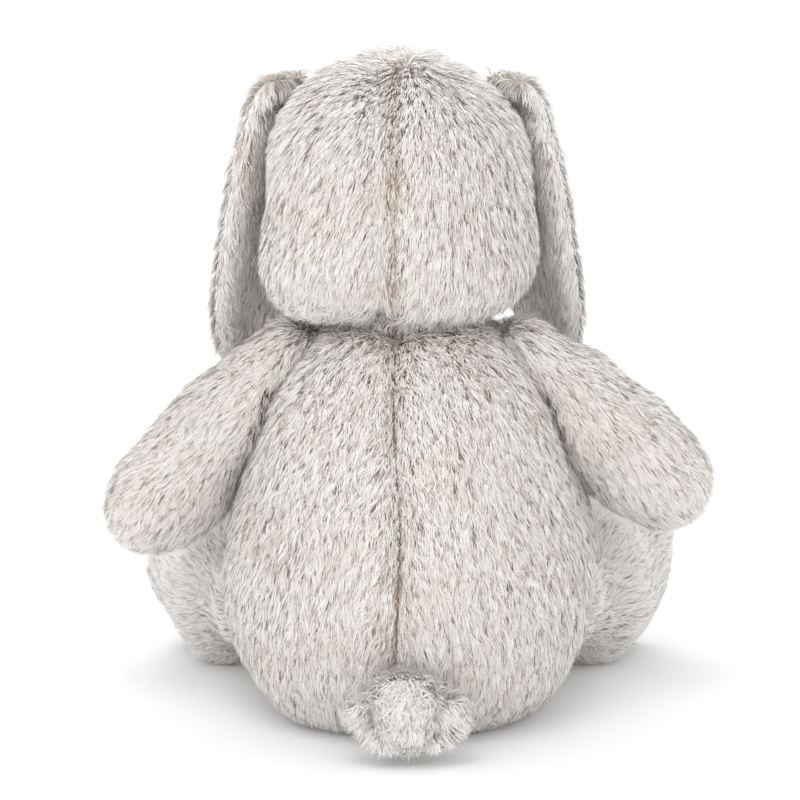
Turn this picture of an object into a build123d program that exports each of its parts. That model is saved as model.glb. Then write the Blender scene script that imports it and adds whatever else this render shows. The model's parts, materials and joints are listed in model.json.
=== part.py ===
"""Seated plush rabbit with lop ears, built as sewn panels round separate wads of filling.

Frame: +Z up, the rabbit looks along -Y, its left side is +X, and the origin is on the
surface it sits on, below the middle of the torso. All sizes are in millimetres.

Each padded member is a cover of sewn panels round a filling. The head nods on a dome of
neck filling, which turns on the torso. Ears, arms, legs and tail hinge at their seams.
"""

import os
from math import cos, radians, sin

from build123d import *

# ---- driving dimensions ---------------------------------------------------------------
cover_wall = 5.0  # backing cloth with the root of the pile
seam_gap = 0.6  # between a limb and the member that it is sewn to

torso_radius = 103.0  # at the widest part of the hips
torso_height = 224.0
seat_seam_height = 20.0  # where the seat panel meets the panels above it
side_seam_y = -18.0  # plane of the side seams between back and belly

neck_pivot_drop = 24.0  # centre of the neck's dome, below the top of the torso
neck_dome_radius = 50.0
neck_clearance = 0.5

head_radius = 75.5
head_height = 142.0
head_lift = 8.0  # bottom of the head above the top of the torso
head_shift_y = -4.0
gusset_half_width = 25.0  # strip of the cover from the crown to the nose
gusset_low_height = 45.0  # its lower edge, above the head's bottom
crown_y = 16.0  # its rear end

muzzle_radius = 36.0
muzzle_forward = head_radius - 17.5  # centre of the muzzle, ahead of the head's axis
muzzle_rise = 43.0  # and above the head's bottom
nose_half_width = 10.5
nose_radius = 7.0
nose_elevation = 17.0  # degrees above level, seen from the muzzle's centre
mouth_thread_radius = 0.9
mouth_fork_elevation = -12.0
mouth_corner_azimuth = 17.0
mouth_corner_elevation = -21.0

eye_radius = 7.0
eye_spread = 36.0  # from the middle of the head
eye_height = 80.0  # above the head's bottom
eye_shank_radius = 2.2
eye_shank_length = 15.0
eye_washer_radius = 9.0
eye_washer_thickness = 1.6
eye_washer_depth = 2.5  # below the inside of the cover

ear_length = 170.0  # from the root over the top and down to the tip
ear_half_width = 36.0
ear_root_half_width = 19.0
ear_layer = 6.0  # one of the ear's two layers
ear_bend_radius = 16.0
ear_hang = 14.0  # degrees outward from straight down
ear_yaw = 30.0  # degrees that the leaf's front edge turns inward
ear_forward_lean = 40.0  # how far the tip lies ahead of the root
ear_root_azimuth = 18.0  # degrees forward of the side of the head
ear_root_reach = head_radius - 15.5  # from the head's axis
ear_root_height = 122.0  # above the head's bottom

arm_length = 142.0  # from the shoulder pivot to the end of the paw
arm_radius = 31.0
arm_root_radius = 22.0
arm_droop_left = 47.0  # degrees below level
arm_droop_right = 41.0
arm_sweep = 4.0  # degrees forward
shoulder_height = 203.0
shoulder_inset = 4.0  # pivot below the torso's surface

leg_length = 100.0  # from the hip pivot to the sole
leg_half_width = 38.0
leg_half_height = 48.0
leg_root_radius = 25.0
leg_splay = 27.0  # degrees outward from straight ahead
hip_azimuth = 38.0  # degrees forward of the side of the torso
hip_inset = -1.0
foot_half_height = 60.0
leg_rise = 1.5  # lowest point of the leg above the seat's surface
sole_pad_thickness = 4.0

tail_length = 31.0
tail_half_width = 31.0
tail_half_height = 21.0
tail_root_radius = 9.0
tail_root_height = 38.0
tail_rise = 6.0  # lowest point of the tail above the seat's surface
tail_root_out = 5.0  # root behind the torso's surface

pouch_radius = 46.0
pouch_half_height = 15.0
pouch_rise = 9.0  # between the seat panel and the pouch

# ---- outlines, as shares of the radius and of the height --------------------------------
torso_outline = [
    (0.60, 0.00), (0.79, 0.055), (0.93, 0.16), (1.00, 0.32), (0.985, 0.46),
    (0.925, 0.59), (0.84, 0.72), (0.74, 0.84), (0.62, 0.93), (0.45, 1.00),
]  # fmt: skip
head_outline = [
    (0.66, 0.00), (0.85, 0.08), (0.95, 0.18), (1.00, 0.36), (1.00, 0.51), (0.95, 0.655),
    (0.83, 0.775), (0.66, 0.873), (0.42, 0.95), (0.00, 1.00),
]  # fmt: skip
# shares of arm_radius and of arm_length, from the shoulder to the paw
arm_outline = [(0.90, 0.22), (1.00, 0.45), (1.00, 0.68), (0.84, 0.88), (0.50, 0.97)]
# way from the root to the end, width and height as shares, and share of the lift
leg_sections = [
    (0.19, 0.53, 0.46, 0.0), (0.42, 0.99, 0.98, 0.0), (0.58, 1.00, 1.00, 0.15),
    (0.76, 1.00, 1.00, 0.80), (0.92, 0.93, 1.00, 1.0), (1.00, 0.74, 0.82, 1.0),
]  # fmt: skip
tail_sections = [
    (0.10, 0.40, 0.45, 0.0), (0.25, 0.85, 0.83, 0.8), (0.50, 1.00, 1.00, 1.0),
    (0.78, 0.86, 0.86, 1.0), (1.00, 0.40, 0.42, 1.0),
]  # fmt: skip
# leaf of the ear: the way down it, and its half width as a share
ear_leaf = [(0.10, 0.62), (0.30, 0.86), (0.55, 1.00), (0.76, 0.96), (0.91, 0.66)]

os.makedirs("parts", exist_ok=True)

# ---- places worked out from the dimensions ----------------------------------------------
up = Vector(0, 0, 1)
head_base = torso_height + head_lift
head_foot = Vector(0, head_shift_y, head_base)
neck_pivot = Vector(0, 0, torso_height - neck_pivot_drop)
muzzle_center = head_foot + Vector(0, -muzzle_forward, muzzle_rise)


def outline_share(outline, height_share):
    """Radius of an outline at a share of its height, by straight runs between its points."""
    for (low_r, low_h), (high_r, high_h) in zip(outline, outline[1:]):
        if low_h <= height_share <= high_h:
            way = (height_share - low_h) / (high_h - low_h)
            return low_r + way * (high_r - low_r)
    return outline[-1][0]


def torso_point(azimuth, height, inset):
    """Point below the torso's surface, azimuth degrees forward of its left side."""
    reach = torso_radius * outline_share(torso_outline, height / torso_height) - inset
    return Vector(reach * cos(radians(azimuth)), -reach * sin(radians(azimuth)), height)


def muzzle_point(azimuth, elevation, reach):
    """Point at this reach from the muzzle's centre, seen from there in degrees."""
    level = reach * cos(radians(elevation))
    return muzzle_center + Vector(
        level * sin(radians(azimuth)),
        -level * cos(radians(azimuth)),
        reach * sin(radians(elevation)),
    )


def turned(outline, radius, height, foot, inset):
    """Upright solid turned from an outline about the line above its foot, drawn in by inset."""
    inner_height = height - 2 * inset
    points = [
        (max(share * radius - inset, 0), inset + rise * inner_height)
        for share, rise in outline
    ]
    with BuildPart() as member:
        with BuildSketch(Plane(origin=foot, x_dir=(1, 0, 0), z_dir=(0, -1, 0))):
            with BuildLine():
                Spline(*points)
                if points[-1][0] > 0:
                    Line(points[-1], (0, points[-1][1]))
                Polyline((0, points[-1][1]), (0, points[0][1]), points[0])
            make_face()
        revolve(axis=Axis(foot, up))
    return member.part


def oval(center, axis, half_length, radius):
    """Ball that is stretched or flattened along one axis."""
    axis = Vector(*axis)
    side = Vector(0, -1, 0) if abs(axis.Y) < 0.5 else Vector(1, 0, 0)
    turns = [radians(turn) for turn in range(0, 181, 20)]
    points = [(half_length * cos(turn), radius * sin(turn)) for turn in turns]
    with BuildPart() as ball:
        with BuildSketch(Plane(origin=center, x_dir=axis, z_dir=side)):
            with BuildLine():
                Spline(*points, tangents=[(0, 1), (0, -1)])
                Line(points[-1], points[0])
            make_face()
        revolve(axis=Axis(center, axis))
    return ball.part


def torso_solid(inset):
    return turned(torso_outline, torso_radius, torso_height, Vector(0, 0, 0), inset)


def head_solid(inset):
    return turned(head_outline, head_radius, head_height, head_foot, inset)


def half(part, plane, keep):
    with BuildPart() as piece:
        add(part)
        split(bisect_by=plane, keep=keep)
    return piece.part


def save(part, name):
    part.label = name
    export_step(part, f"parts/{name}.step")


# ---- joints' places ---------------------------------------------------------------------
shoulder = torso_point(0, shoulder_height, shoulder_inset)
hip = torso_point(hip_azimuth, leg_half_height + leg_rise, hip_inset)
tail_share = outline_share(torso_outline, tail_root_height / torso_height)
tail_root = Vector(0, torso_radius * tail_share + tail_root_out, tail_root_height)
ear_out = Vector(cos(radians(ear_yaw)), -sin(radians(ear_yaw)), 0)
ear_along = Vector(-sin(radians(ear_yaw)), -cos(radians(ear_yaw)), 0)
ear_root = head_foot + Vector(
    ear_root_reach * cos(radians(ear_root_azimuth)),
    -ear_root_reach * sin(radians(ear_root_azimuth)),
    ear_root_height,
)

# ---- torso ------------------------------------------------------------------------------
torso_inner = torso_solid(cover_wall)

with BuildPart() as sockets:
    for side in (1, -1):
        with Locations((side * shoulder.X, shoulder.Y, shoulder.Z)):
            Sphere(arm_root_radius + seam_gap)
        with Locations((side * hip.X, hip.Y, hip.Z)):
            Sphere(leg_root_radius + seam_gap)
    with Locations(tail_root):
        Sphere(tail_root_radius + seam_gap)

with BuildPart() as torso_cover:
    add(torso_solid(0))
    add(torso_inner, mode=Mode.SUBTRACT)
    add(sockets.part, mode=Mode.SUBTRACT)

seat_plane = Plane.XY.offset(seat_seam_height)
side_plane = Plane.XZ.offset(-side_seam_y)
upper_cover = half(torso_cover.part, seat_plane, Keep.TOP)
back_cover = half(upper_cover, side_plane, Keep.BOTTOM)
save(half(torso_cover.part, seat_plane, Keep.BOTTOM), "seat_panel")
save(half(upper_cover, side_plane, Keep.TOP), "belly_panel")
save(half(back_cover, Plane.YZ, Keep.TOP), "back_panel_left")
save(half(back_cover, Plane.YZ, Keep.BOTTOM), "back_panel_right")

pouch_height = cover_wall + pouch_rise + pouch_half_height
pouch = oval((0, 0, pouch_height), (0, 0, 1), pouch_half_height, pouch_radius)
save(pouch, "weight_pouch")

with BuildPart() as torso_filling:
    add(torso_inner)
    add(sockets.part, mode=Mode.SUBTRACT)
    add(pouch, mode=Mode.SUBTRACT)
save(torso_filling.part, "torso_filling")

# ---- neck -------------------------------------------------------------------------------
with BuildPart() as neck_filling:
    with Locations(neck_pivot):
        Sphere(neck_dome_radius)
    split(bisect_by=Plane.XY.offset(torso_height + neck_clearance), keep=Keep.TOP)
save(neck_filling.part, "neck_filling")

# ---- face -------------------------------------------------------------------------------
head_outer = head_solid(0)
head_inner = head_solid(cover_wall)

with BuildPart() as muzzle_ball:
    with Locations(muzzle_center):
        Sphere(muzzle_radius)



def eye_plane(side):
    """Plane against the cover where the eye sits, facing the way that the eye looks."""
    share = outline_share(head_outline, eye_height / head_height)
    forward = ((head_radius * share) ** 2 - eye_spread**2) ** 0.5
    look = Vector(side * eye_spread, -forward, 0)
    return Plane(origin=head_foot + look + up * eye_height, z_dir=look)


def eye_part(side):
    """Domed plastic eye with the shank that goes through the cover."""
    plane = eye_plane(side)
    with BuildPart() as eye:
        with Locations(plane):
            Sphere(eye_radius)
        split(bisect_by=plane, keep=Keep.TOP)
        with BuildSketch(plane):
            Circle(eye_shank_radius)
        extrude(amount=-eye_shank_length)
    return eye.part


def washer_part(side):
    """Washer on the shank, which locks the eye behind the cover."""
    with BuildPart() as washer:
        with BuildSketch(eye_plane(side).offset(-cover_wall - eye_washer_depth)):
            Circle(eye_washer_radius)
            Circle(eye_shank_radius, mode=Mode.SUBTRACT)
        extrude(amount=-eye_washer_thickness)
    return washer.part


with BuildPart() as eye_hardware:
    for side, name in ((1, "left"), (-1, "right")):
        eye = eye_part(side)
        washer = washer_part(side)
        add(eye)
        add(washer)
        save(eye, f"eye_{name}")
        save(washer, f"eye_washer_{name}")

nose_center = muzzle_point(0, nose_elevation, muzzle_radius)
nose_pad = oval(nose_center, (1, 0, 0), nose_half_width, nose_radius)
save(nose_pad, "nose_pad")

with BuildPart() as muzzle:
    add(muzzle_ball.part)
    add(head_outer, mode=Mode.SUBTRACT)
    add(eye_hardware.part, mode=Mode.SUBTRACT)
    add(nose_pad, mode=Mode.SUBTRACT)
save(muzzle.part, "muzzle_panel")

# the stitched mouth: down from the nose, then a curve out to each side
mouth_fork = muzzle_point(0, mouth_fork_elevation, muzzle_radius)
mouth_runs = [(mouth_fork, 0, 0.0, nose_elevation)]
for side in (1, -1):
    mouth_runs.append(
        (mouth_fork, side * mouth_corner_azimuth, mouth_corner_elevation - 3.0,
         mouth_corner_elevation)
    )  # fmt: skip
with BuildPart() as mouth:
    for start, azimuth, middle_elevation, end_elevation in mouth_runs:
        middle = muzzle_point(azimuth / 2, middle_elevation, muzzle_radius)
        end = muzzle_point(azimuth, end_elevation, muzzle_radius)
        with BuildLine() as thread:
            ThreePointArc(start, middle, end)
        with BuildSketch(Plane(origin=start, z_dir=thread.line % 0)):
            Circle(mouth_thread_radius)
        sweep(path=thread.line)
    add(muzzle_ball.part, mode=Mode.SUBTRACT)
    add(nose_pad, mode=Mode.SUBTRACT)
save(mouth.part, "mouth_stitches")

# ---- head -------------------------------------------------------------------------------
with BuildPart() as neck_recess:
    with Locations(neck_pivot):
        Sphere(neck_dome_radius + neck_clearance)

with BuildPart() as gusset_zone:
    with BuildSketch(Plane.XY.offset(head_base + gusset_low_height)):
        with Locations((0, crown_y)):
            Rectangle(
                2 * gusset_half_width, 3 * head_radius, align=(Align.CENTER, Align.MAX)
            )
    extrude(amount=head_height)

with BuildPart() as head_cover:
    add(head_outer)
    add(head_inner, mode=Mode.SUBTRACT)
    add(neck_recess.part, mode=Mode.SUBTRACT)
    add(eye_hardware.part, mode=Mode.SUBTRACT)

with BuildPart() as head_gusset:
    add(head_cover.part)
    add(gusset_zone.part, mode=Mode.INTERSECT)
save(head_gusset.part, "head_gusset")

with BuildPart() as head_sides:
    add(head_cover.part)
    add(gusset_zone.part, mode=Mode.SUBTRACT)
save(half(head_sides.part, Plane.YZ, Keep.TOP), "head_panel_left")
save(half(head_sides.part, Plane.YZ, Keep.BOTTOM), "head_panel_right")

with BuildPart() as head_filling:
    add(head_inner)
    add(neck_recess.part, mode=Mode.SUBTRACT)
    add(eye_hardware.part, mode=Mode.SUBTRACT)
save(head_filling.part, "head_filling")


# ---- ears -------------------------------------------------------------------------------
def ear_leaf_outline():
    """Leaf seen from the side, as points forward and up from the ear's root."""
    drop = ear_length * cos(radians(ear_hang))
    top = ear_bend_radius * 0.8

    def at(way, share):
        middle = ear_forward_lean * way**1.3
        return (middle + share * ear_half_width, top * (1 - way) - way * drop)

    front = [at(way, share) for way, share in ear_leaf]
    back = [at(way, -share) for way, share in reversed(ear_leaf)]
    return [(ear_root_half_width, top), *front, at(0.985, 0), *back, (-ear_root_half_width, top)]


def ear_layer_part(low, high):
    """Left ear between two distances from its middle surface: over the top, then down."""
    turn = 90 - ear_hang
    down = Vector(sin(radians(ear_hang)), -cos(radians(ear_hang)))

    def bend_end(offset):
        reach = ear_bend_radius + offset
        return Vector(reach * sin(radians(turn)), reach * cos(radians(turn)) - ear_bend_radius)

    with BuildPart() as layer:
        with BuildSketch(Plane(origin=ear_root, x_dir=ear_out, z_dir=ear_along)):
            with BuildLine():
                for offset in (low, high):
                    CenterArc((0, -ear_bend_radius), ear_bend_radius + offset, 90 - turn, turn)
                    Line(bend_end(offset), bend_end(offset) + down * ear_length)
                Line((0, low), (0, high))
                Line(bend_end(low) + down * ear_length, bend_end(high) + down * ear_length)
            make_face()
        extrude(amount=ear_length, both=True)
        with BuildSketch(Plane(origin=ear_root, x_dir=ear_along, z_dir=-ear_out)):
            with BuildLine():
                Spline(*ear_leaf_outline(), periodic=True)
            make_face()
        extrude(amount=ear_length, both=True, mode=Mode.INTERSECT)
    return layer.part


for name, low, high in (("inner", -ear_layer, 0.0), ("outer", 0.0, ear_layer)):
    layer = ear_layer_part(low, high)
    save(layer, f"ear_left_{name}")
    save(mirror(layer, Plane.YZ), f"ear_right_{name}")


# ---- limbs ------------------------------------------------------------------------------
def limb(root_place, along, root_radius, outline, radius, length, inset):
    """Limb turned about its own axis, with a round root, and shaped to lie on the torso."""
    root = root_radius - inset
    end = length - inset
    points = [(way * length, share * radius - inset) for share, way in outline]
    with BuildPart() as member:
        with BuildSketch(Plane(origin=root_place, x_dir=along, z_dir=up.cross(along))):
            with BuildLine():
                CenterArc((0, 0), root, 90, 90)
                Spline((0, root), *points, (end, 0), tangents=[(1, 0), (0, -1)])
                Line((end, 0), (-root, 0))
            make_face()
        revolve(axis=Axis(root_place, along))
        add(torso_solid(-seam_gap - inset), mode=Mode.SUBTRACT)
        with Locations(root_place):
            Sphere(root)
    return member.part


def arm_pieces(droop):
    """Upper panel, lower panel and filling of the left arm at this droop."""
    level = cos(radians(droop))
    sweep_angle = radians(arm_sweep)
    along = Vector(level * cos(sweep_angle), -level * sin(sweep_angle), -sin(radians(droop)))
    seam = Plane(origin=shoulder, z_dir=along.cross(up.cross(along)))
    whole, filling = (
        limb(shoulder, along, arm_root_radius, arm_outline, arm_radius, arm_length, inset)
        for inset in (0, cover_wall)
    )
    with BuildPart() as cover:
        add(whole)
        add(filling, mode=Mode.SUBTRACT)
    return {
        "upper_panel": half(cover.part, seam, Keep.TOP),
        "lower_panel": half(cover.part, seam, Keep.BOTTOM),
        "filling": filling,
    }


for name, piece in arm_pieces(arm_droop_left).items():
    save(piece, f"arm_left_{name}")
for name, piece in arm_pieces(arm_droop_right).items():
    save(mirror(piece, Plane.YZ), f"arm_right_{name}")


def lofted(root_plane, root_radius, length, half_width, half_height, lift, sections, inset):
    """Limb through oval sections, from a round root that stays within its socket."""
    with BuildPart() as member:
        for way, share in ((-0.5, 0.60), (0.0, 0.80)):
            with BuildSketch(root_plane.offset(way * root_radius + inset)):
                Circle(share * root_radius - inset)
        for way, wide, high, lifted in sections:
            with BuildSketch(root_plane.offset(way * length + (1 - 2 * way) * inset)):
                with Locations((0, lift * lifted)):
                    Ellipse(half_width * wide - inset, half_height(lifted) * high - inset)
        loft()
    return member.part


# ---- legs -------------------------------------------------------------------------------
leg_along = Vector(sin(radians(leg_splay)), -cos(radians(leg_splay)), 0)
hip_plane = Plane(origin=hip, x_dir=up.cross(leg_along), z_dir=leg_along)
sole_face = hip_plane.offset(leg_length - sole_pad_thickness)
leg_seam = Plane(origin=hip, z_dir=leg_along.cross(up))


def leg_solid(inset):
    """Left leg: a thigh that swells from its root into an upright foot with a flat sole."""
    lift = foot_half_height - leg_half_height
    return lofted(
        hip_plane,
        leg_root_radius,
        leg_length,
        leg_half_width,
        lambda lifted: leg_half_height + lift * lifted,
        lift,
        leg_sections,
        inset,
    )


leg_filling = leg_solid(cover_wall)
with BuildPart() as leg_cover:
    add(leg_solid(0))
    add(leg_filling, mode=Mode.SUBTRACT)
leg_sides = half(leg_cover.part, sole_face, Keep.BOTTOM)
leg_pieces = {
    "inner_panel": half(leg_sides, leg_seam, Keep.BOTTOM),
    "outer_panel": half(leg_sides, leg_seam, Keep.TOP),
    "sole_pad": half(leg_cover.part, sole_face, Keep.TOP),
    "filling": leg_filling,
}
for name, piece in leg_pieces.items():
    save(piece, f"leg_left_{name}")
    save(mirror(piece, Plane.YZ), f"leg_right_{name}")

# ---- tail -------------------------------------------------------------------------------
tail_plane = Plane(origin=tail_root, x_dir=(-1, 0, 0), z_dir=(0, 1, 0))


def tail_solid(inset):
    return lofted(
        tail_plane,
        tail_root_radius,
        tail_length,
        tail_half_width,
        lambda lifted: tail_half_height,
        tail_half_height + tail_rise - tail_root_height,
        tail_sections,
        inset,
    )


tail_filling = tail_solid(cover_wall * 0.6)
with BuildPart() as tail_cover:
    add(tail_solid(0))
    add(tail_filling, mode=Mode.SUBTRACT)
save(tail_cover.part, "tail_cover")
save(tail_filling, "tail_filling")
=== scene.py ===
# %% [markdown]
# # A seated plush rabbit with lop ears
#
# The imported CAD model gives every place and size. Each stuffed member starts as its CAD
# solids, becomes one soft closed form by remeshing and a short cloth simulation, and then
# gets its seams, dents and folds. The pile is real geometry: hundreds of thousands of thin
# two-part hairs, combed, gathered in tufts and coloured from root to tip. Units are metres.

import json

import bmesh
import bpy
import numpy as np
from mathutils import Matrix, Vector
from mathutils.bvhtree import BVHTree


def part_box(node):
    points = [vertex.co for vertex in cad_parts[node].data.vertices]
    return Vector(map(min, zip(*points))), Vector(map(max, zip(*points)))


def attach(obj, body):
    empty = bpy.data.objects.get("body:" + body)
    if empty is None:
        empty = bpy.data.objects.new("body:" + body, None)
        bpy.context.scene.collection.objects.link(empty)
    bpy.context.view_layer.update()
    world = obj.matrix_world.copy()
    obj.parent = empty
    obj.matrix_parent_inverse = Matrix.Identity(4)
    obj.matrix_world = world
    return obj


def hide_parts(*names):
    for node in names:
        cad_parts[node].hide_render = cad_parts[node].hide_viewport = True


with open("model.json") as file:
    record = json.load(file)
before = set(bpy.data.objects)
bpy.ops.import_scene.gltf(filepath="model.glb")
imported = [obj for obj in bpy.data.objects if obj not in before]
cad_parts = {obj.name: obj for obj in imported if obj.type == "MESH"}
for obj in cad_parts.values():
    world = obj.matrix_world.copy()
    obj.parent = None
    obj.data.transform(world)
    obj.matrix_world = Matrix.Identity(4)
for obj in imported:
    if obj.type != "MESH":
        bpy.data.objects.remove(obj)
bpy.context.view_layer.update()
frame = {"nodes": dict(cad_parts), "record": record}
nodes = frame["nodes"]
bodies = frame["record"]["behaviour"]["bodies"]
joints = {joint["child"]: joint for joint in frame["record"]["behaviour"]["joints"]}
random = np.random.default_rng(11)
MM = 0.001

# %% [markdown]
# ## Palette
#
# Colours are written as sRGB hex and turned linear once. A pile has two families of tones:
# the shaded lower half of each hair and its pale upper half. Each hair takes one tone from
# each family, so the mottled look comes from many hairs and not from a flat picture.


# %% Colour and material helpers
def linear(hex_colour):
    """sRGB hex to linear RGBA."""
    channels = [int(hex_colour[i : i + 2], 16) / 255 for i in (1, 3, 5)]
    return [c / 12.92 if c <= 0.04045 else ((c + 0.055) / 1.055) ** 2.4 for c in channels] + [1]


def plain_material(name, hex_colour, roughness=0.85, sheen=0.0, **sockets):
    """Principled material with set values; sockets are further Principled inputs."""
    material = bpy.data.materials.new(name)
    material.use_nodes = True
    shader = material.node_tree.nodes["Principled BSDF"]
    values = {"Base Color": linear(hex_colour), "Roughness": roughness, "Sheen Weight": sheen}
    values.update({key.replace("_", " "): value for key, value in sockets.items()})
    for key, value in values.items():
        shader.inputs[key].default_value = value
    return material


def add_node(tree, kind, links=(), **settings):
    """One node: settings are attributes or input values, links are (input, output socket)."""
    node = tree.nodes.new(kind)
    for key, value in settings.items():
        if hasattr(node, key):
            setattr(node, key, value)
        else:
            node.inputs[key.replace("_", " ")].default_value = value
    for key, output in links:
        tree.links.new(output, node.inputs[key])
    return node


def textured_material(name, dark, light, grain, depth, roughness=0.8, weave=None, **sockets):
    """Cloth or plastic: two colours mottled by noise, with a bump from a weave or the noise.

    grain and weave are real sizes in metres, depth is how far the bump stands in metres.
    """
    material = plain_material(name, light, roughness, **sockets)
    tree = material.node_tree
    shader = tree.nodes["Principled BSDF"]
    place = add_node(tree, "ShaderNodeTexCoord").outputs["Object"]
    noise = add_node(
        tree, "ShaderNodeTexNoise", [("Vector", place)], Scale=1 / grain, Detail=4.0
    )
    mix = add_node(
        tree, "ShaderNodeMix", [("Factor", noise.outputs["Fac"])], data_type="RGBA"
    )
    mix.inputs["A"].default_value = linear(dark)
    mix.inputs["B"].default_value = linear(light)
    tree.links.new(mix.outputs["Result"], shader.inputs["Base Color"])
    height = noise.outputs["Fac"]
    if weave:
        height = add_node(
            tree, "ShaderNodeTexWave", [("Vector", place)], Scale=1 / weave, Distortion=2.0
        ).outputs["Fac"]
    bump = add_node(tree, "ShaderNodeBump", [("Height", height)], Distance=depth)
    tree.links.new(bump.outputs["Normal"], shader.inputs["Normal"])
    return material


# %% Tones of the pile
# Polyester pile fibre, brushed: rough, with a soft sheen where it turns from the light.
# Every hair is of one plain value, and the mottling comes from the spread of tones.
SHEEN = 0.35


def tone_family(prefix, hexes):
    return [
        plain_material(f"{prefix}_{i + 1}", colour, 0.8, SHEEN, Sheen_Roughness=0.45)
        for i, colour in enumerate(hexes)
    ]


root_tones = tone_family("pile_root", ["#cdb8a9", "#ebdfd6", "#f4ece5", "#f9f4ef"])
tip_tones = tone_family("pile_tip", ["#e4d5c9", "#f6eee6", "#fcf7f2", "#fffcf9"])
pile_slots = root_tones + tip_tones
# Knitted polyester backing, seen only in partings: loops about 1.4 mm apart.
backing = textured_material(
    "knitted_backing", "#e2d9d1", "#eee8e3", grain=4 * MM, depth=0.3 * MM, weave=1.4 * MM
)
print(len(pile_slots), "pile tones")

# %% [markdown]
# ## Soft forms
#
# The CAD solids of one member are joined and remeshed with voxels of a few millimetres,
# which makes one closed skin. The skin is drawn in below the pile, and a cloth simulation
# with inner pressure swells it the way that filling does.


# %% From CAD solids to a closed skin
def mesh_object(name, mesh):
    piece = bpy.data.objects.new(name, mesh)
    bpy.context.scene.collection.objects.link(piece)
    return piece


def evaluated_mesh(piece):
    graph = bpy.context.evaluated_depsgraph_get()
    return bpy.data.meshes.new_from_object(piece.evaluated_get(graph), depsgraph=graph)


def apply_modifiers(piece):
    """The piece keeps the result of its modifiers and loses the modifiers."""
    mesh = evaluated_mesh(piece)
    piece.modifiers.clear()
    piece.data = mesh
    return piece


def points_of(mesh):
    flat = np.empty(len(mesh.vertices) * 3)
    mesh.vertices.foreach_get("co", flat)
    return flat.reshape(-1, 3)


def normals_of(mesh):
    flat = np.empty(len(mesh.vertices) * 3)
    mesh.vertices.foreach_get("normal", flat)
    return flat.reshape(-1, 3)


def move_points(mesh, points):
    mesh.vertices.foreach_set("co", points.ravel())
    mesh.update()


def soft_skin(body, voxel, rounding, inset):
    """Closed skin round a body's padded CAD solids, drawn in by inset."""
    solid = bmesh.new()
    for node in bodies[body]:
        if not node.startswith(("eye", "nose", "mouth", "weight")):
            solid.from_mesh(nodes[node].data)
    mesh = bpy.data.meshes.new(f"{body}_skin")
    solid.to_mesh(mesh)
    solid.free()
    skin = mesh_object(f"{body}_skin", mesh)
    remesh = skin.modifiers.new("remesh", "REMESH")
    remesh.mode = "VOXEL"
    remesh.voxel_size = voxel
    smooth = skin.modifiers.new("smooth", "SMOOTH")
    smooth.iterations = rounding
    smooth.factor = 0.6
    apply_modifiers(skin)
    mesh = skin.data
    move_points(mesh, points_of(mesh) - normals_of(mesh) * inset)
    return skin


SKIN_PLANS = {  # body: voxel, smoothing steps, how far the skin lies below the CAD surface
    "torso": (5 * MM, 8, 4.0 * MM),
    "neck": (4 * MM, 4, 1.0 * MM),
    "head": (4 * MM, 14, 4.0 * MM),
    "arm_left": (3.5 * MM, 6, 4.0 * MM),
    "arm_right": (3.5 * MM, 6, 4.0 * MM),
    "leg_left": (4 * MM, 10, 4.0 * MM),
    "leg_right": (4 * MM, 10, 4.0 * MM),
    "ear_left": (2.5 * MM, 5, 3.0 * MM),
    "ear_right": (2.5 * MM, 5, 3.0 * MM),
    "tail": (3 * MM, 6, 4.0 * MM),
}
skins = {body: soft_skin(body, *plan) for body, plan in SKIN_PLANS.items()}
print("skins", {body: len(skin.data.vertices) for body, skin in skins.items()})

# %% [markdown]
# The simulation has no gravity, only pressure, and no point moves further than a few
# millimetres, so every member stays in the space that its CAD solid holds.


# %% Swell the skins with cloth pressure
SWELL_FRAMES = 14
SWELL_LIMIT = 3.0 * MM
PRESSURE = 3.0


def swell(members):
    """Runs all the cloths together and keeps the result, each point's travel capped."""
    before = {skin: points_of(skin.data) for skin in members}
    for skin in members:
        cloth = skin.modifiers.new("swell", "CLOTH")
        cloth.settings.quality = 4
        cloth.settings.use_pressure = True
        cloth.settings.uniform_pressure_force = PRESSURE
        cloth.settings.effector_weights.gravity = 0
        cloth.collision_settings.use_collision = False
        cloth.point_cache.frame_end = SWELL_FRAMES
    for step in range(1, SWELL_FRAMES + 1):
        bpy.context.scene.frame_set(step)
    for skin in members:
        apply_modifiers(skin)
    bpy.context.scene.frame_set(1)
    for skin in members:
        travel = points_of(skin.data) - before[skin]
        length = np.linalg.norm(travel, axis=1, keepdims=True)
        travel *= np.minimum(1, SWELL_LIMIT / np.maximum(length, 1e-9))
        move_points(skin.data, before[skin] + travel)


swell([skin for body, skin in skins.items() if body not in ("neck",)])
for skin in skins.values():
    subdivision = skin.modifiers.new("finer", "SUBSURF")
    subdivision.levels = 1
    apply_modifiers(skin)
print("finer skins", {body: len(skin.data.vertices) for body, skin in skins.items()})

# %% [markdown]
# ## Seams, dents and lumps
#
# Filling is never even: broad lumps stand between the seams, and each seam pulls the cloth
# into a valley. A valley is a plane, a half width and a depth.

# %% Places that the shapes need
head_low, head_high = np.array(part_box("head_filling"))
torso_high = np.array(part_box("torso_filling"))[1]
crown = np.array([0.004, 0.020, head_high[2] + 3 * MM])
seam_x = 0.006  # the centre back seam wanders a little to the rabbit's left
SEAM_WANDER = 2.5 * MM  # and wavers by this much on its way down
DIMPLE = (0.078, 0.012, 0.296)  # where a stitch pulls the left side of the head in
print("crown", crown.round(3), "seam", seam_x)


# %% Helpers for shapes
def lumps(points, size, seed):
    """Smooth noise between about -1 and 1 from a few seeded waves of this size."""
    waves = np.random.default_rng(seed)
    total = np.zeros(len(points))
    for _ in range(7):
        direction = waves.normal(size=3)
        direction *= waves.uniform(0.7, 1.4) / np.linalg.norm(direction)
        total += np.sin(points @ direction * 2 * np.pi / size + waves.uniform(0, 6.28))
    return total / 3.2


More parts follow.
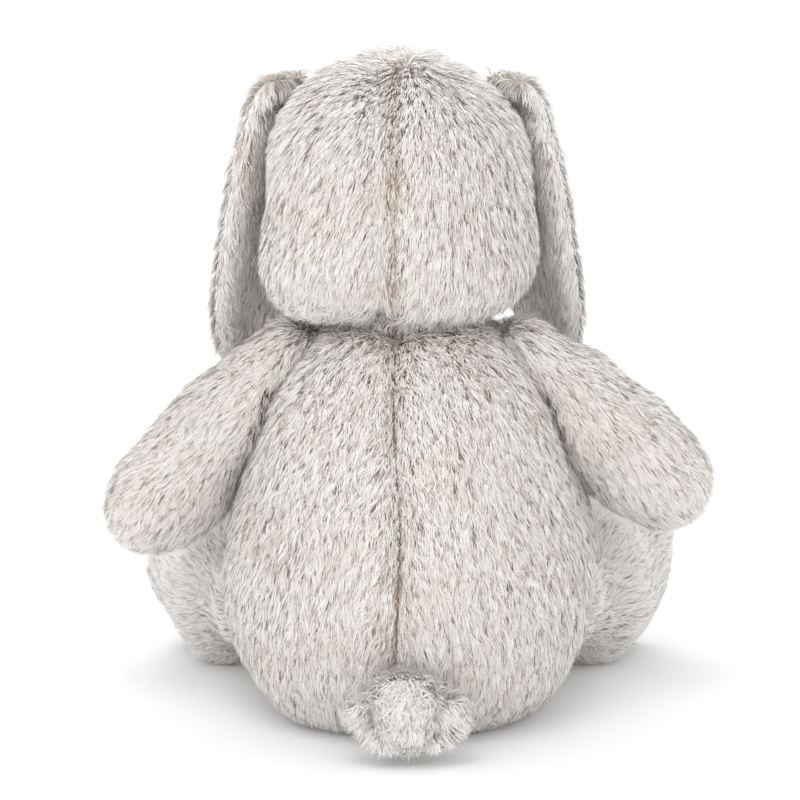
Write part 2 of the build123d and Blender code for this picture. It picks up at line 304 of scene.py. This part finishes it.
def from_seam(x, z):
    """Signed distance from the centre back seam of the body."""
    return x - seam_x - SEAM_WANDER * np.sin(z * 40)


def unit(vectors):
    return vectors / np.maximum(np.linalg.norm(vectors, axis=-1, keepdims=True), 1e-12)


def valley(distance, half_width):
    """1 on a seam, falling to 0 beside it."""
    return np.exp(-((distance / half_width) ** 2))


def pit(points, place, size):
    """1 at a place, falling to 0 round it."""
    return np.exp(-(np.linalg.norm(points - np.array(place), axis=1) ** 2) / size**2)


print("a seam's valley at its middle and one half width off", valley(np.array([0, 1.0]), 1.0))

# %% [markdown]
# The centre back seam is the deepest valley, on head and body alike. The jowls stand out a
# little, the head is slimmer above them, and paws and elbows have creases where the
# filling gives way. The tail is pinched into three lobes.


# %% Shapes of head, body and limbs
def shape_torso(points):
    x, y, z = points.T
    behind = 1 / (1 + np.exp(-y / (6 * MM)))
    inward = 5.5 * MM * valley(from_seam(x, z), 6 * MM) * behind
    inward += 2 * MM * valley(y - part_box("belly_panel")[1][1], 6 * MM)
    inward -= 2.0 * MM * lumps(points, 75 * MM, 3)
    return -inward


def shape_head(points):
    x, y, z = points.T
    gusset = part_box("head_gusset")
    behind = valley(x - seam_x, 6 * MM) * (y > gusset[1][1])
    sides = valley(np.abs(x) - gusset[1][0], 5 * MM) * (y < gusset[1][1]) * (z > gusset[0][2])
    inward = 5.0 * MM * behind + 1.5 * MM * sides
    inward += 7 * MM * pit(points, DIMPLE, 9 * MM)
    inward -= 1.6 * MM * lumps(points, 60 * MM, 5)
    sideways = np.clip(np.abs(x) / (55 * MM), 0, 1) ** 2
    inward -= 5 * MM * valley(z - head_low[2] - 14 * MM, 18 * MM) * sideways
    inward += 2.5 * MM * valley(z - head_low[2] - 62 * MM, 36 * MM) * sideways
    return -inward


def shape_limb(points):
    return 1.3 * MM * lumps(points, 45 * MM, 8)


def shape_arm(points):
    x, y, z = points.T
    crease = pit(points, (0.118, 0.022, 0.168), 13 * MM) + pit(points, (0.128, 0.02, 0.15), 12 * MM)
    paw = pit(points, (-0.162, 0.016, 0.141), 11 * MM) + pit(points, (0.155, 0.016, 0.113), 9 * MM)
    return shape_limb(points) - 3.5 * MM * crease - 4 * MM * paw


def shape_tail(points):
    x, y, z = points.T
    clefts = valley(x - 0.017, 5 * MM) + valley(x + 0.014, 5 * MM)
    return -8 * MM * clefts * (z > 0.016) + 1.5 * MM * lumps(points, 22 * MM, 4)


def still(points):
    return np.zeros(len(points))


print("shapes for torso, head, limbs and tail")

# %% [markdown]
# A sewn toy never sits evenly. The back of the head and the ears lean to one side, the
# ears swing out, one arm hangs lower, and the feet turn out. The snout is brought forward
# to the nose, and the thighs and the tail are filled right up to the body.


# %% How the members hang
def lopsided(body, points):
    """The back of the head and both ears sit a little to the rabbit's left."""
    if body == "head":
        return 9 * MM * np.clip((points[:, 1] + 40 * MM) / (60 * MM), 0, 1)
    return 6 * MM if body.startswith("ear") else 0.0


def hang_of_ear(points):
    """Ears swing out, and hang a little longer, towards their tips."""
    x, y, z = points.T
    low, high = z.min(), z.max()
    share = np.clip((high - z) / (high - low), 0, 1)
    side = np.sign(x.mean())
    points[:, 0] += side * 8 * MM * share**2.2
    points[:, 2] -= 5 * MM * share
    return points


def settle(body, points):
    """Arms and legs don't hang evenly: how far each paw or foot lies from an even pose."""
    offsets = {"arm_left": (3, -3), "arm_right": (6, 4), "leg_left": (4, 0), "leg_right": (-9, 0)}
    if body in offsets:
        across, upward = offsets[body]
        share = np.clip((np.abs(points[:, 0]) - 80 * MM) / (70 * MM), 0, 1)
        points[:, 0] += across * MM * share
        points[:, 2] += upward * MM * share
    return points


def meet_the_face(points):
    """The snout reaches forward until the nose pad and the mouth lie on it."""
    for node, reach in (("nose_pad", 20 * MM), ("mouth_stitches", 18 * MM)):
        place = np.array(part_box(node)).mean(axis=0)
        away = np.linalg.norm((points - place)[:, [0, 2]], axis=1)
        front = points[:, 1] < 0
        gap = points[front & (away < 6 * MM), 1].min() - place[1] - 1 * MM
        points[:, 1] -= max(gap, 0) * np.exp(-((away / reach) ** 2)) * front
    return points


def fuller_root(body, points):
    """Thighs and tail are as thick at the torso as a stuffed member is, not a thin stalk."""
    plumpness = {"leg_left": (17, 46), "leg_right": (17, 46), "tail": (7, 16)}
    if body in plumpness:
        extra, reach = plumpness[body]
        pivot = np.array(joints[body]["pos_m"])
        along = unit(points.mean(axis=0) - pivot)
        across = (points - pivot) - ((points - pivot) @ along)[:, None] * along
        near = valley((points - pivot) @ along - 6 * MM, reach * MM)
        points = points + unit(across) * (extra * MM * near)[:, None]
    return points


# %% Shape every skin
LOWEST = 0.8 * MM  # no skin lies lower than this above the floor
SHAPES = {
    "torso": shape_torso, "head": shape_head, "neck": still, "tail": shape_tail,
    "arm_left": shape_arm, "arm_right": shape_arm, "leg_left": shape_limb,
    "leg_right": shape_limb, "ear_left": still, "ear_right": still,
}  # fmt: skip
for body, skin in skins.items():
    points, normals = points_of(skin.data), normals_of(skin.data)
    points = points + normals * SHAPES[body](points)[:, None]
    points[:, 0] += lopsided(body, points)
    if body.startswith("ear"):
        points = hang_of_ear(points)
    if body == "head":
        points = meet_the_face(points)
    points = fuller_root(body, settle(body, points))
    points[:, 2] = np.maximum(points[:, 2], LOWEST)
    move_points(skin.data, points)
    skin.data.materials.clear()
    skin.data.materials.append(backing)
    skin.data.polygons.foreach_set("use_smooth", np.ones(len(skin.data.polygons), bool))
    skin.data.polygons.foreach_set("material_index", np.zeros(len(skin.data.polygons), int))
    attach(skin, body)
    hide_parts(*[node for node in bodies[body] if node.endswith("filling")])
print("shaped", len(skins), "skins")

# %% [markdown]
# ## Which panel a place belongs to
#
# Each face of a skin takes the CAD panel that is nearest to it, so the pile is cut into the
# same panels as the sewn cover. Faces inside a neighbouring member grow no pile.


# %% Sort faces into panels
def tree_of(mesh):
    corners = [tuple(v.co) for v in mesh.vertices]
    return BVHTree.FromPolygons(corners, [tuple(p.vertices) for p in mesh.polygons])


skin_trees = {body: tree_of(skin.data) for body, skin in skins.items()}
NEIGHBOURS = {
    "torso": ("arm_left", "arm_right", "leg_left", "leg_right", "tail", "neck"),
    "neck": ("torso", "head"),
    "head": ("neck", "ear_left", "ear_right"),
    "ear_left": ("head",), "ear_right": ("head",), "arm_left": ("torso",),
    "arm_right": ("torso",), "leg_left": ("torso",), "leg_right": ("torso",), "tail": ("torso",),
}  # fmt: skip


def crossings(tree, place, direction):
    """How often a ray from this place passes through the skin."""
    count = 0
    while count < 8:
        hit, _, _, _ = tree.ray_cast(place, direction)
        if hit is None:
            break
        place = hit + direction * 0.02 * MM
        count += 1
    return count


def buried(place, body, direction):
    """True if a place lies inside a neighbour's skin, some way below its surface."""
    for other in NEIGHBOURS[body]:
        _, _, _, reach = skin_trees[other].find_nearest(place, 0.06)
        if reach is not None and reach > 1.5 * MM:
            if crossings(skin_trees[other], place, direction) % 2:
                return True
    return False


def panels_of(body):
    """Array of the panel number of each face, -1 where nothing grows, and the panel names."""
    names = [
        node for node in bodies[body]
        if not node.endswith("filling") and not node.startswith(("eye", "nose", "mouth", "weight"))
    ]  # fmt: skip
    names = names or ["neck_collar"]
    trees = [tree_of(nodes[name].data if name in nodes else skins[body].data) for name in names]
    numbers = []
    for face in skins[body].data.polygons:
        place = face.center
        if buried(place, body, face.normal):
            numbers.append(-1)
            continue
        reach = [tree.find_nearest(place)[3] for tree in trees]
        numbers.append(int(np.argmin(reach)))
    return np.array(numbers), names


# %% [markdown]
# ## Combing
#
# Every hair lies along a flow: from the crown outward on the head, down the body, along the
# arms and legs to the paws, and down the ears.


# %% Directions of the flow
def tip_of(body):
    """The point of a limb that is furthest from its joint."""
    pivot = np.array(joints[body]["pos_m"])
    points = points_of(skins[body].data)
    return points[np.argmax(np.linalg.norm(points - pivot, axis=1))]


def flow(body, points):
    x, y, z = points.T
    down = np.tile([0.0, 0.0, -1.0], (len(points), 1))
    if body == "head":
        away = unit(points - crown)
        return away + 0.5 * down + np.c_[0.25 * np.ones(len(x)), 0 * x, 0 * x]
    if body == "torso":
        part = np.sign(x - seam_x) * valley(x - seam_x, 14 * MM) * 0.6 * (y > 0)
        return down + np.c_[part + 1.2 * x, 0.3 * y, 0 * z]
    if body.startswith(("arm", "leg")):
        along = unit(tip_of(body) - np.array(joints[body]["pos_m"]))
        return np.tile(along, (len(points), 1)) + 0.25 * down
    if body == "tail":
        return unit(points - np.array(joints["tail"]["pos_m"])) + 0.3 * down
    return down


# %% [markdown]
# ## Growing the pile
#
# A hair is a thin ribbon in two parts: a shaded lower part and a pale tapering upper part.
# Hairs that share a tuft lean together and their tips draw close, so the pile opens between
# tufts and shows its darker roots. Real fibres are finer than these hairs, which are only
# as fine as the size of the exported mesh allows.

# %% Pile sizes
DENSITY = 1.9e6  # hairs for each square metre
HAIR_WIDTH = 0.46 * MM
TUFT = 3.0 * MM
PILE = {  # body: hair length, how upright, tuft strength
    "torso": (11 * MM, 0.7, 0.2), "neck": (10 * MM, 0.9, 0.4), "head": (11 * MM, 0.7, 0.2),
    "arm_left": (11 * MM, 0.65, 0.2), "arm_right": (11 * MM, 0.65, 0.2),
    "leg_left": (10 * MM, 0.65, 0.2), "leg_right": (10 * MM, 0.65, 0.2),
    "ear_left": (12 * MM, 0.4, 0.15), "ear_right": (12 * MM, 0.4, 0.15),
    "tail": (10 * MM, 0.45, 0.15),
}  # fmt: skip
MAX_HAIRS = 66000  # in one piece
print("hairs per square metre", DENSITY, "each", HAIR_WIDTH, "m wide")


# %% Where hairs stand and how they gather

def sample(mesh, keep):
    """Random places on the kept faces, with smooth normals."""
    mesh.calc_loop_triangles()
    count = len(mesh.loop_triangles)
    corners = np.empty(count * 3, int)
    mesh.loop_triangles.foreach_get("vertices", corners)
    corners = corners.reshape(-1, 3)
    owner = np.empty(count, int)
    mesh.loop_triangles.foreach_get("polygon_index", owner)
    corners = corners[keep[owner]]
    points, normals = points_of(mesh), normals_of(mesh)
    a, b, c = (points[corners[:, i]] for i in range(3))
    area = np.linalg.norm(np.cross(b - a, c - a), axis=1) / 2
    total = min(int(area.sum() * DENSITY), MAX_HAIRS)
    chosen = random.choice(len(corners), total, p=area / area.sum())
    u, v = random.random((2, total))
    flip = u + v > 1
    u[flip], v[flip] = 1 - u[flip], 1 - v[flip]
    weights = np.c_[1 - u - v, u, v][:, :, None]
    place = (points[corners[chosen]] * weights).sum(axis=1)
    normal = unit((normals[corners[chosen]] * weights).sum(axis=1))
    return place, normal


def tufts_of(places, size, seed):
    """Number of the tuft of each place: cells of a grid that noise has bent out of line."""
    bent = places + np.stack(
        [lumps(places, 11 * MM, seed + axis) for axis in range(3)], axis=1
    ) * (0.5 * size)
    cells = np.floor(bent / size).astype(np.int64)
    _, tuft = np.unique(cells, axis=0, return_inverse=True)
    return tuft.ravel()


def gathered(values, tuft):
    """Each tuft's mean of the values."""
    count = np.bincount(tuft)
    means = np.stack([np.bincount(tuft, values[:, i]) for i in range(3)], axis=1)
    return means / count[:, None]


print("tufts are", TUFT, "m across")

# %% [markdown]
# The pile is clipped short round the eyes and the nose, and stands long in the ruffle over
# the neck seam. Its tone changes in patches, from tuft to tuft and from hair to hair. Seams
# and the crown's tuft show more of the taupe roots. Both ears are made paler as painted
# light, the left ear less so as painted shade, and their inner side is darker, partly a
# browner pile and partly painted shade. A darker band round the neck seam is painted shade
# under the head. The legs and the top of the head are made paler as painted light, and the
# tail is palest, partly its own whiter pile and partly painted light.


# %% Length and tone of each hair
def local_length(body, places):
    """Hair length as a share of the body's own, shorter round the face."""
    x, y, z = places.T
    share = np.ones(len(places))
    if body in ("torso", "head"):
        share *= 1 - 0.4 * valley(x - seam_x, 4 * MM) * (y > 0)
    if body == "head":
        muzzle = np.array(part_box("muzzle_panel"))
        snout = np.array([0, muzzle[0][1] + 0.03, muzzle.mean(axis=0)[2]])
        share *= 1 - 0.55 * np.clip(pit(places, snout, 42 * MM), 0, 1)
        for side in ("left", "right"):
            eye = np.array(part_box(f"eye_{side}")).mean(axis=0)
            share *= 1 - 0.7 * pit(places, eye, 13 * MM)
        share *= 1 - 0.6 * pit(places, np.array(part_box("nose_pad")).mean(axis=0), 16 * MM)
        share *= 1 + 0.5 * valley(z - head_low[2], 12 * MM)
        share *= 1 + 0.3 * pit(places, crown, 12 * MM)
    return share


def tones(body, places, tuft_random, hair_random):
    """Numbers of the root tone and the tip tone of each hair."""
    x, y, z = places.T
    patch = 0.8 * lumps(places, 50 * MM, 21) + 0.6 * lumps(places, 16 * MM, 22)
    level = 1.75 + 0.5 * patch + 0.9 * (tuft_random - 0.5) + 1.3 * (hair_random - 0.5)
    # Painted light: the legs' pile is made paler to offset the shade that the body casts on them.
    if body.startswith("leg"):
        level = level + 2.0
    # The tail's pile is paler, partly its own whiter fibre and partly painted light that offsets
    # the shade of its upright hairs.
    if body == "tail":
        level = level + 2.6
    # Both ears are made paler as painted light against their shade, the rabbit's left ear less so,
    # as painted shade; the inner side near the head is darker, partly a browner pile and partly
    # painted shade.
    if body.startswith("ear"):
        inner = (np.abs(x - 5 * MM) < 0.088) & (z < 0.33)
        level = level + np.where(x > 0, 0.9, 1.8) - 1.1 * inner
    # Painted shade: a darker band round the neck seam, under the overhang of the head.
    if body in ("torso", "neck"):
        neck_shade_band = valley(z - torso_high[2] - 3 * MM, 9 * MM)
        level = level - 0.5 * neck_shade_band * (x > -25 * MM)
    if body == "torso":
        parting = valley(from_seam(x, z), 4.5 * MM) * (y > 0)
        level = level - 2.2 * parting * (0.55 + 0.45 * np.sin(z * 75))
    if body == "head":
        # Painted light: the top of the head round the crown is made paler, as light from above
        # falls there.
        level = level + 1.4 * pit(places, crown, 45 * MM)
        level = level - 1.8 * pit(places, crown + np.array([-0.008, 0.012, -0.004]), 11 * MM)
        level = level - 2.2 * valley(x - seam_x, 3.5 * MM) * (y > 0)
        level = level + 1.0 * valley(z - head_low[2], 8 * MM)
    tip = np.clip(np.round(level + 0.3), 0, 3)
    root = np.clip(np.round(level - 0.7), 0, 3)
    return root.astype(int), tip.astype(int)


print("tones", len(root_tones), "for roots and", len(tip_tones), "for tips")

# %% [markdown]
# The hair starts on the skin, rises along its first half and lies over along its second.
# Its shading normal is the skin's own, bent slightly to its tuft, so that light falls on
# the pile as on one soft surface and not on a heap of flat strips.


# %% One panel's pile
def grow(body, panel, keep, length_scale=1.0):
    """One panel's pile as a mesh object, with the number of its hairs."""
    place, normal = sample(skins[body].data, keep)
    length, upright, strength = PILE[body]
    count = len(place)
    tuft = tufts_of(place, TUFT, 31)
    centre = gathered(place, tuft)[tuft]
    tuft_normal = unit(gathered(normal, tuft))[tuft]
    number = tuft.max() + 1
    sway = random.normal(size=(number, 3))[tuft]
    tuft_random = random.random(number)[tuft]
    hair_random = random.random(count)

    comb = flow(body, place) + 0.2 * sway + 0.2 * random.normal(size=(count, 3))
    comb = unit(comb - (comb * normal).sum(1, keepdims=True) * normal)
    reach = length * length_scale * local_length(body, place)
    reach = reach * (0.75 + 0.3 * tuft_random + 0.25 * (hair_random - 0.5))
    lean = upright * (0.8 + 0.5 * tuft_random)
    first = unit(normal * lean[:, None] + comb * 0.55) * (reach * 0.5)[:, None]
    second = unit(normal * (0.28 * lean)[:, None] + comb) * (reach * 0.55)[:, None]
    middle = place + first
    tip = middle + second
    own = (centre + (tip - place)) - tip
    own -= (own * tuft_normal).sum(1, keepdims=True) * tuft_normal
    tip = tip + own * strength
    middle = middle + own * strength * 0.45

    side = unit(np.cross(tip - place, normal + 0.5 * random.normal(size=(count, 3))))
    outward = (np.cross(side, tip - place) * normal).sum(1, keepdims=True)
    side *= np.where(outward < 0, -1, 1)
    half = side * (HAIR_WIDTH / 2)
    ribbon = np.stack(
        [place - half, place + half, middle + half * 0.9, middle - half * 0.9, tip], axis=1
    )
    ribbon[:, :, 2] = np.maximum(ribbon[:, :, 2], 0.3 * MM)

    mesh = bpy.data.meshes.new(panel)
    mesh.vertices.add(count * 5)
    mesh.vertices.foreach_set("co", ribbon.ravel())
    start = np.arange(count)[:, None] * 5
    mesh.loops.add(count * 7)
    mesh.loops.foreach_set("vertex_index", (start + np.array([[0, 1, 2, 3, 3, 2, 4]])).ravel())
    mesh.polygons.add(count * 2)
    loop_start = (np.arange(count)[:, None] * 7 + np.array([[0, 4]])).ravel()
    mesh.polygons.foreach_set("loop_start", loop_start)
    root_tone, tip_tone = tones(body, place, tuft_random, hair_random)
    slots = np.stack([root_tone, tip_tone + len(root_tones)], axis=1).ravel()
    mesh.polygons.foreach_set("material_index", slots)
    mesh.polygons.foreach_set("use_smooth", np.ones(count * 2, bool))
    for tone in pile_slots:
        mesh.materials.append(tone)
    mesh.update(calc_edges=True)
    soft = unit(normal + 0.3 * unit(own) * (np.linalg.norm(own, axis=1) > 1e-6)[:, None])
    shading = mesh.attributes.new("custom_normal", "FLOAT_VECTOR", "POINT")
    shading.data.foreach_set("vector", np.repeat(soft, 5, axis=0).astype(np.float32).ravel())
    return mesh_object(panel, mesh), count


# %% Grow every panel
LENGTHS = {"sole_pad": 0.45, "muzzle_panel": 0.8, "ear_left_inner": 0.8, "ear_right_inner": 0.8}
hairs = {}
for body in skins:
    numbers, names = panels_of(body)
    for index, name in enumerate(names):
        keep = numbers == index
        if not keep.any():
            print("nothing grows on", name)
            continue
        scale = next((value for key, value in LENGTHS.items() if name.endswith(key)), 1.0)
        piece, hairs[name] = grow(body, f"{name}_pile", keep, scale)
        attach(piece, body)
        if name in nodes:
            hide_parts(name)
print("hairs", hairs, "in all", sum(hairs.values()))

# %% [markdown]
# ## Face and hidden hardware
#
# The eyes are polished near-black plastic, the nose is clipped velour, and the mouth is
# twisted thread. Washers and the granule pouch keep their CAD shapes.

# %% Materials of the CAD nodes that stay
# Moulded and polished plastic gives sharp highlights under its clear coat.
eye_plastic = textured_material(
    "eye_plastic", "#0d0908", "#1a1210", grain=3 * MM, depth=0.01 * MM, roughness=0.08,
    Coat_Weight=1.0,
)  # fmt: skip
# Clipped velour is matt, with a pale sheen at its edges and a grain under a millimetre.
velour = textured_material(
    "nose_velour", "#7d6058", "#a08078", grain=0.8 * MM, depth=0.3 * MM, roughness=0.9,
    Sheen_Weight=0.6,
)  # fmt: skip
# Twisted thread shows its turns about every 0.6 mm.
thread = textured_material(
    "mouth_thread", "#4a3c37", "#65534c", grain=0.7 * MM, depth=0.15 * MM, weave=0.6 * MM
)
# Moulded plastic as it leaves the tool: half matt and faintly uneven.
washer = textured_material(
    "washer_plastic", "#dcdcd6", "#efefe9", grain=1.2 * MM, depth=0.02 * MM, roughness=0.45
)
# Woven cotton, its threads about 0.8 mm apart.
cotton = textured_material(
    "pouch_cotton", "#cfcbc2", "#e4e1d9", grain=3 * MM, depth=0.15 * MM, weave=0.8 * MM
)
FINISH = {
    "eye_left": eye_plastic, "eye_right": eye_plastic, "nose_pad": velour,
    "mouth_stitches": thread, "eye_washer_left": washer, "eye_washer_right": washer,
    "weight_pouch": cotton,
}  # fmt: skip
for node, material in FINISH.items():
    mesh = nodes[node].data
    if not mesh.materials:
        mesh.materials.append(material)
    for slot in nodes[node].material_slots:
        slot.material = material
print("finished", len(FINISH), "CAD nodes")

# %% [markdown]
# ## Studio
#
# A wide pale floor, an even white surround and four large soft lamps, and a long lens
# behind the rabbit and a little above it.


# %% Floor, world and lamps
floor_mesh = bpy.data.meshes.new("studio_floor")
floor_half = 14.0
floor_mesh.from_pydata(
    [(-floor_half, -floor_half, 0), (floor_half, -floor_half, 0),
     (floor_half, floor_half, 0), (-floor_half, floor_half, 0)], [], [(0, 1, 2, 3)]
)  # fmt: skip
floor_mesh.materials.append(plain_material("studio_floor", "#fafafa", 0.9))
mesh_object("studio_floor", floor_mesh)

world = bpy.data.worlds.new("studio")
bpy.context.scene.world = world
world.use_nodes = True
world.node_tree.nodes["Background"].inputs["Color"].default_value = (1, 1, 1, 1)
world.node_tree.nodes["Background"].inputs["Strength"].default_value = 1.07


def soft_lamp(name, place, aim, size, watts):
    lamp = bpy.data.lights.new(name, "AREA")
    lamp.shape = "DISK"
    lamp.size = size
    lamp.energy = watts
    holder = bpy.data.objects.new(name, lamp)
    holder.location = place
    holder.rotation_euler = (Vector(aim) - Vector(place)).to_track_quat("-Z", "Y").to_euler()
    bpy.context.scene.collection.objects.link(holder)


middle = Vector((0, 0, 0.18))
soft_lamp("key", (0.3, 1.1, 2.2), middle, 1.2, 8)
soft_lamp("fill", (1.4, 1.3, 1.2), middle, 1.4, 3)
soft_lamp("front", (0.3, -1.6, 1.5), middle, 1.4, 5)
soft_lamp("low", (-0.2, 2.3, 0.45), middle, 1.4, 5)

# %% [markdown]
# The toy is seen squarely from behind through a long lens, which keeps its proportions
# true, from a little above so that its seat shows the floor it rests on.

# %% Camera
lens = bpy.data.cameras.new("camera")
camera = bpy.data.objects.new("camera", lens)
bpy.context.scene.collection.objects.link(camera)
bpy.context.scene.camera = camera
FIELD = 0.45  # metres across the picture at the rabbit
DISTANCE = 1.9
ELEVATION = np.radians(11)
target = Vector((0.0045, 0, 0.1777))
lens.sensor_width = 36
lens.lens = 36 * DISTANCE / FIELD
lens.dof.use_dof = False
back = Vector((0, np.cos(ELEVATION), np.sin(ELEVATION)))
camera.location = target + back * DISTANCE
camera.rotation_euler = (-back).to_track_quat("-Z", "Y").to_euler()
bpy.context.scene.view_settings.view_transform = "Standard"
print("camera", [round(v, 3) for v in camera.location], "lens", round(lens.lens), "mm")
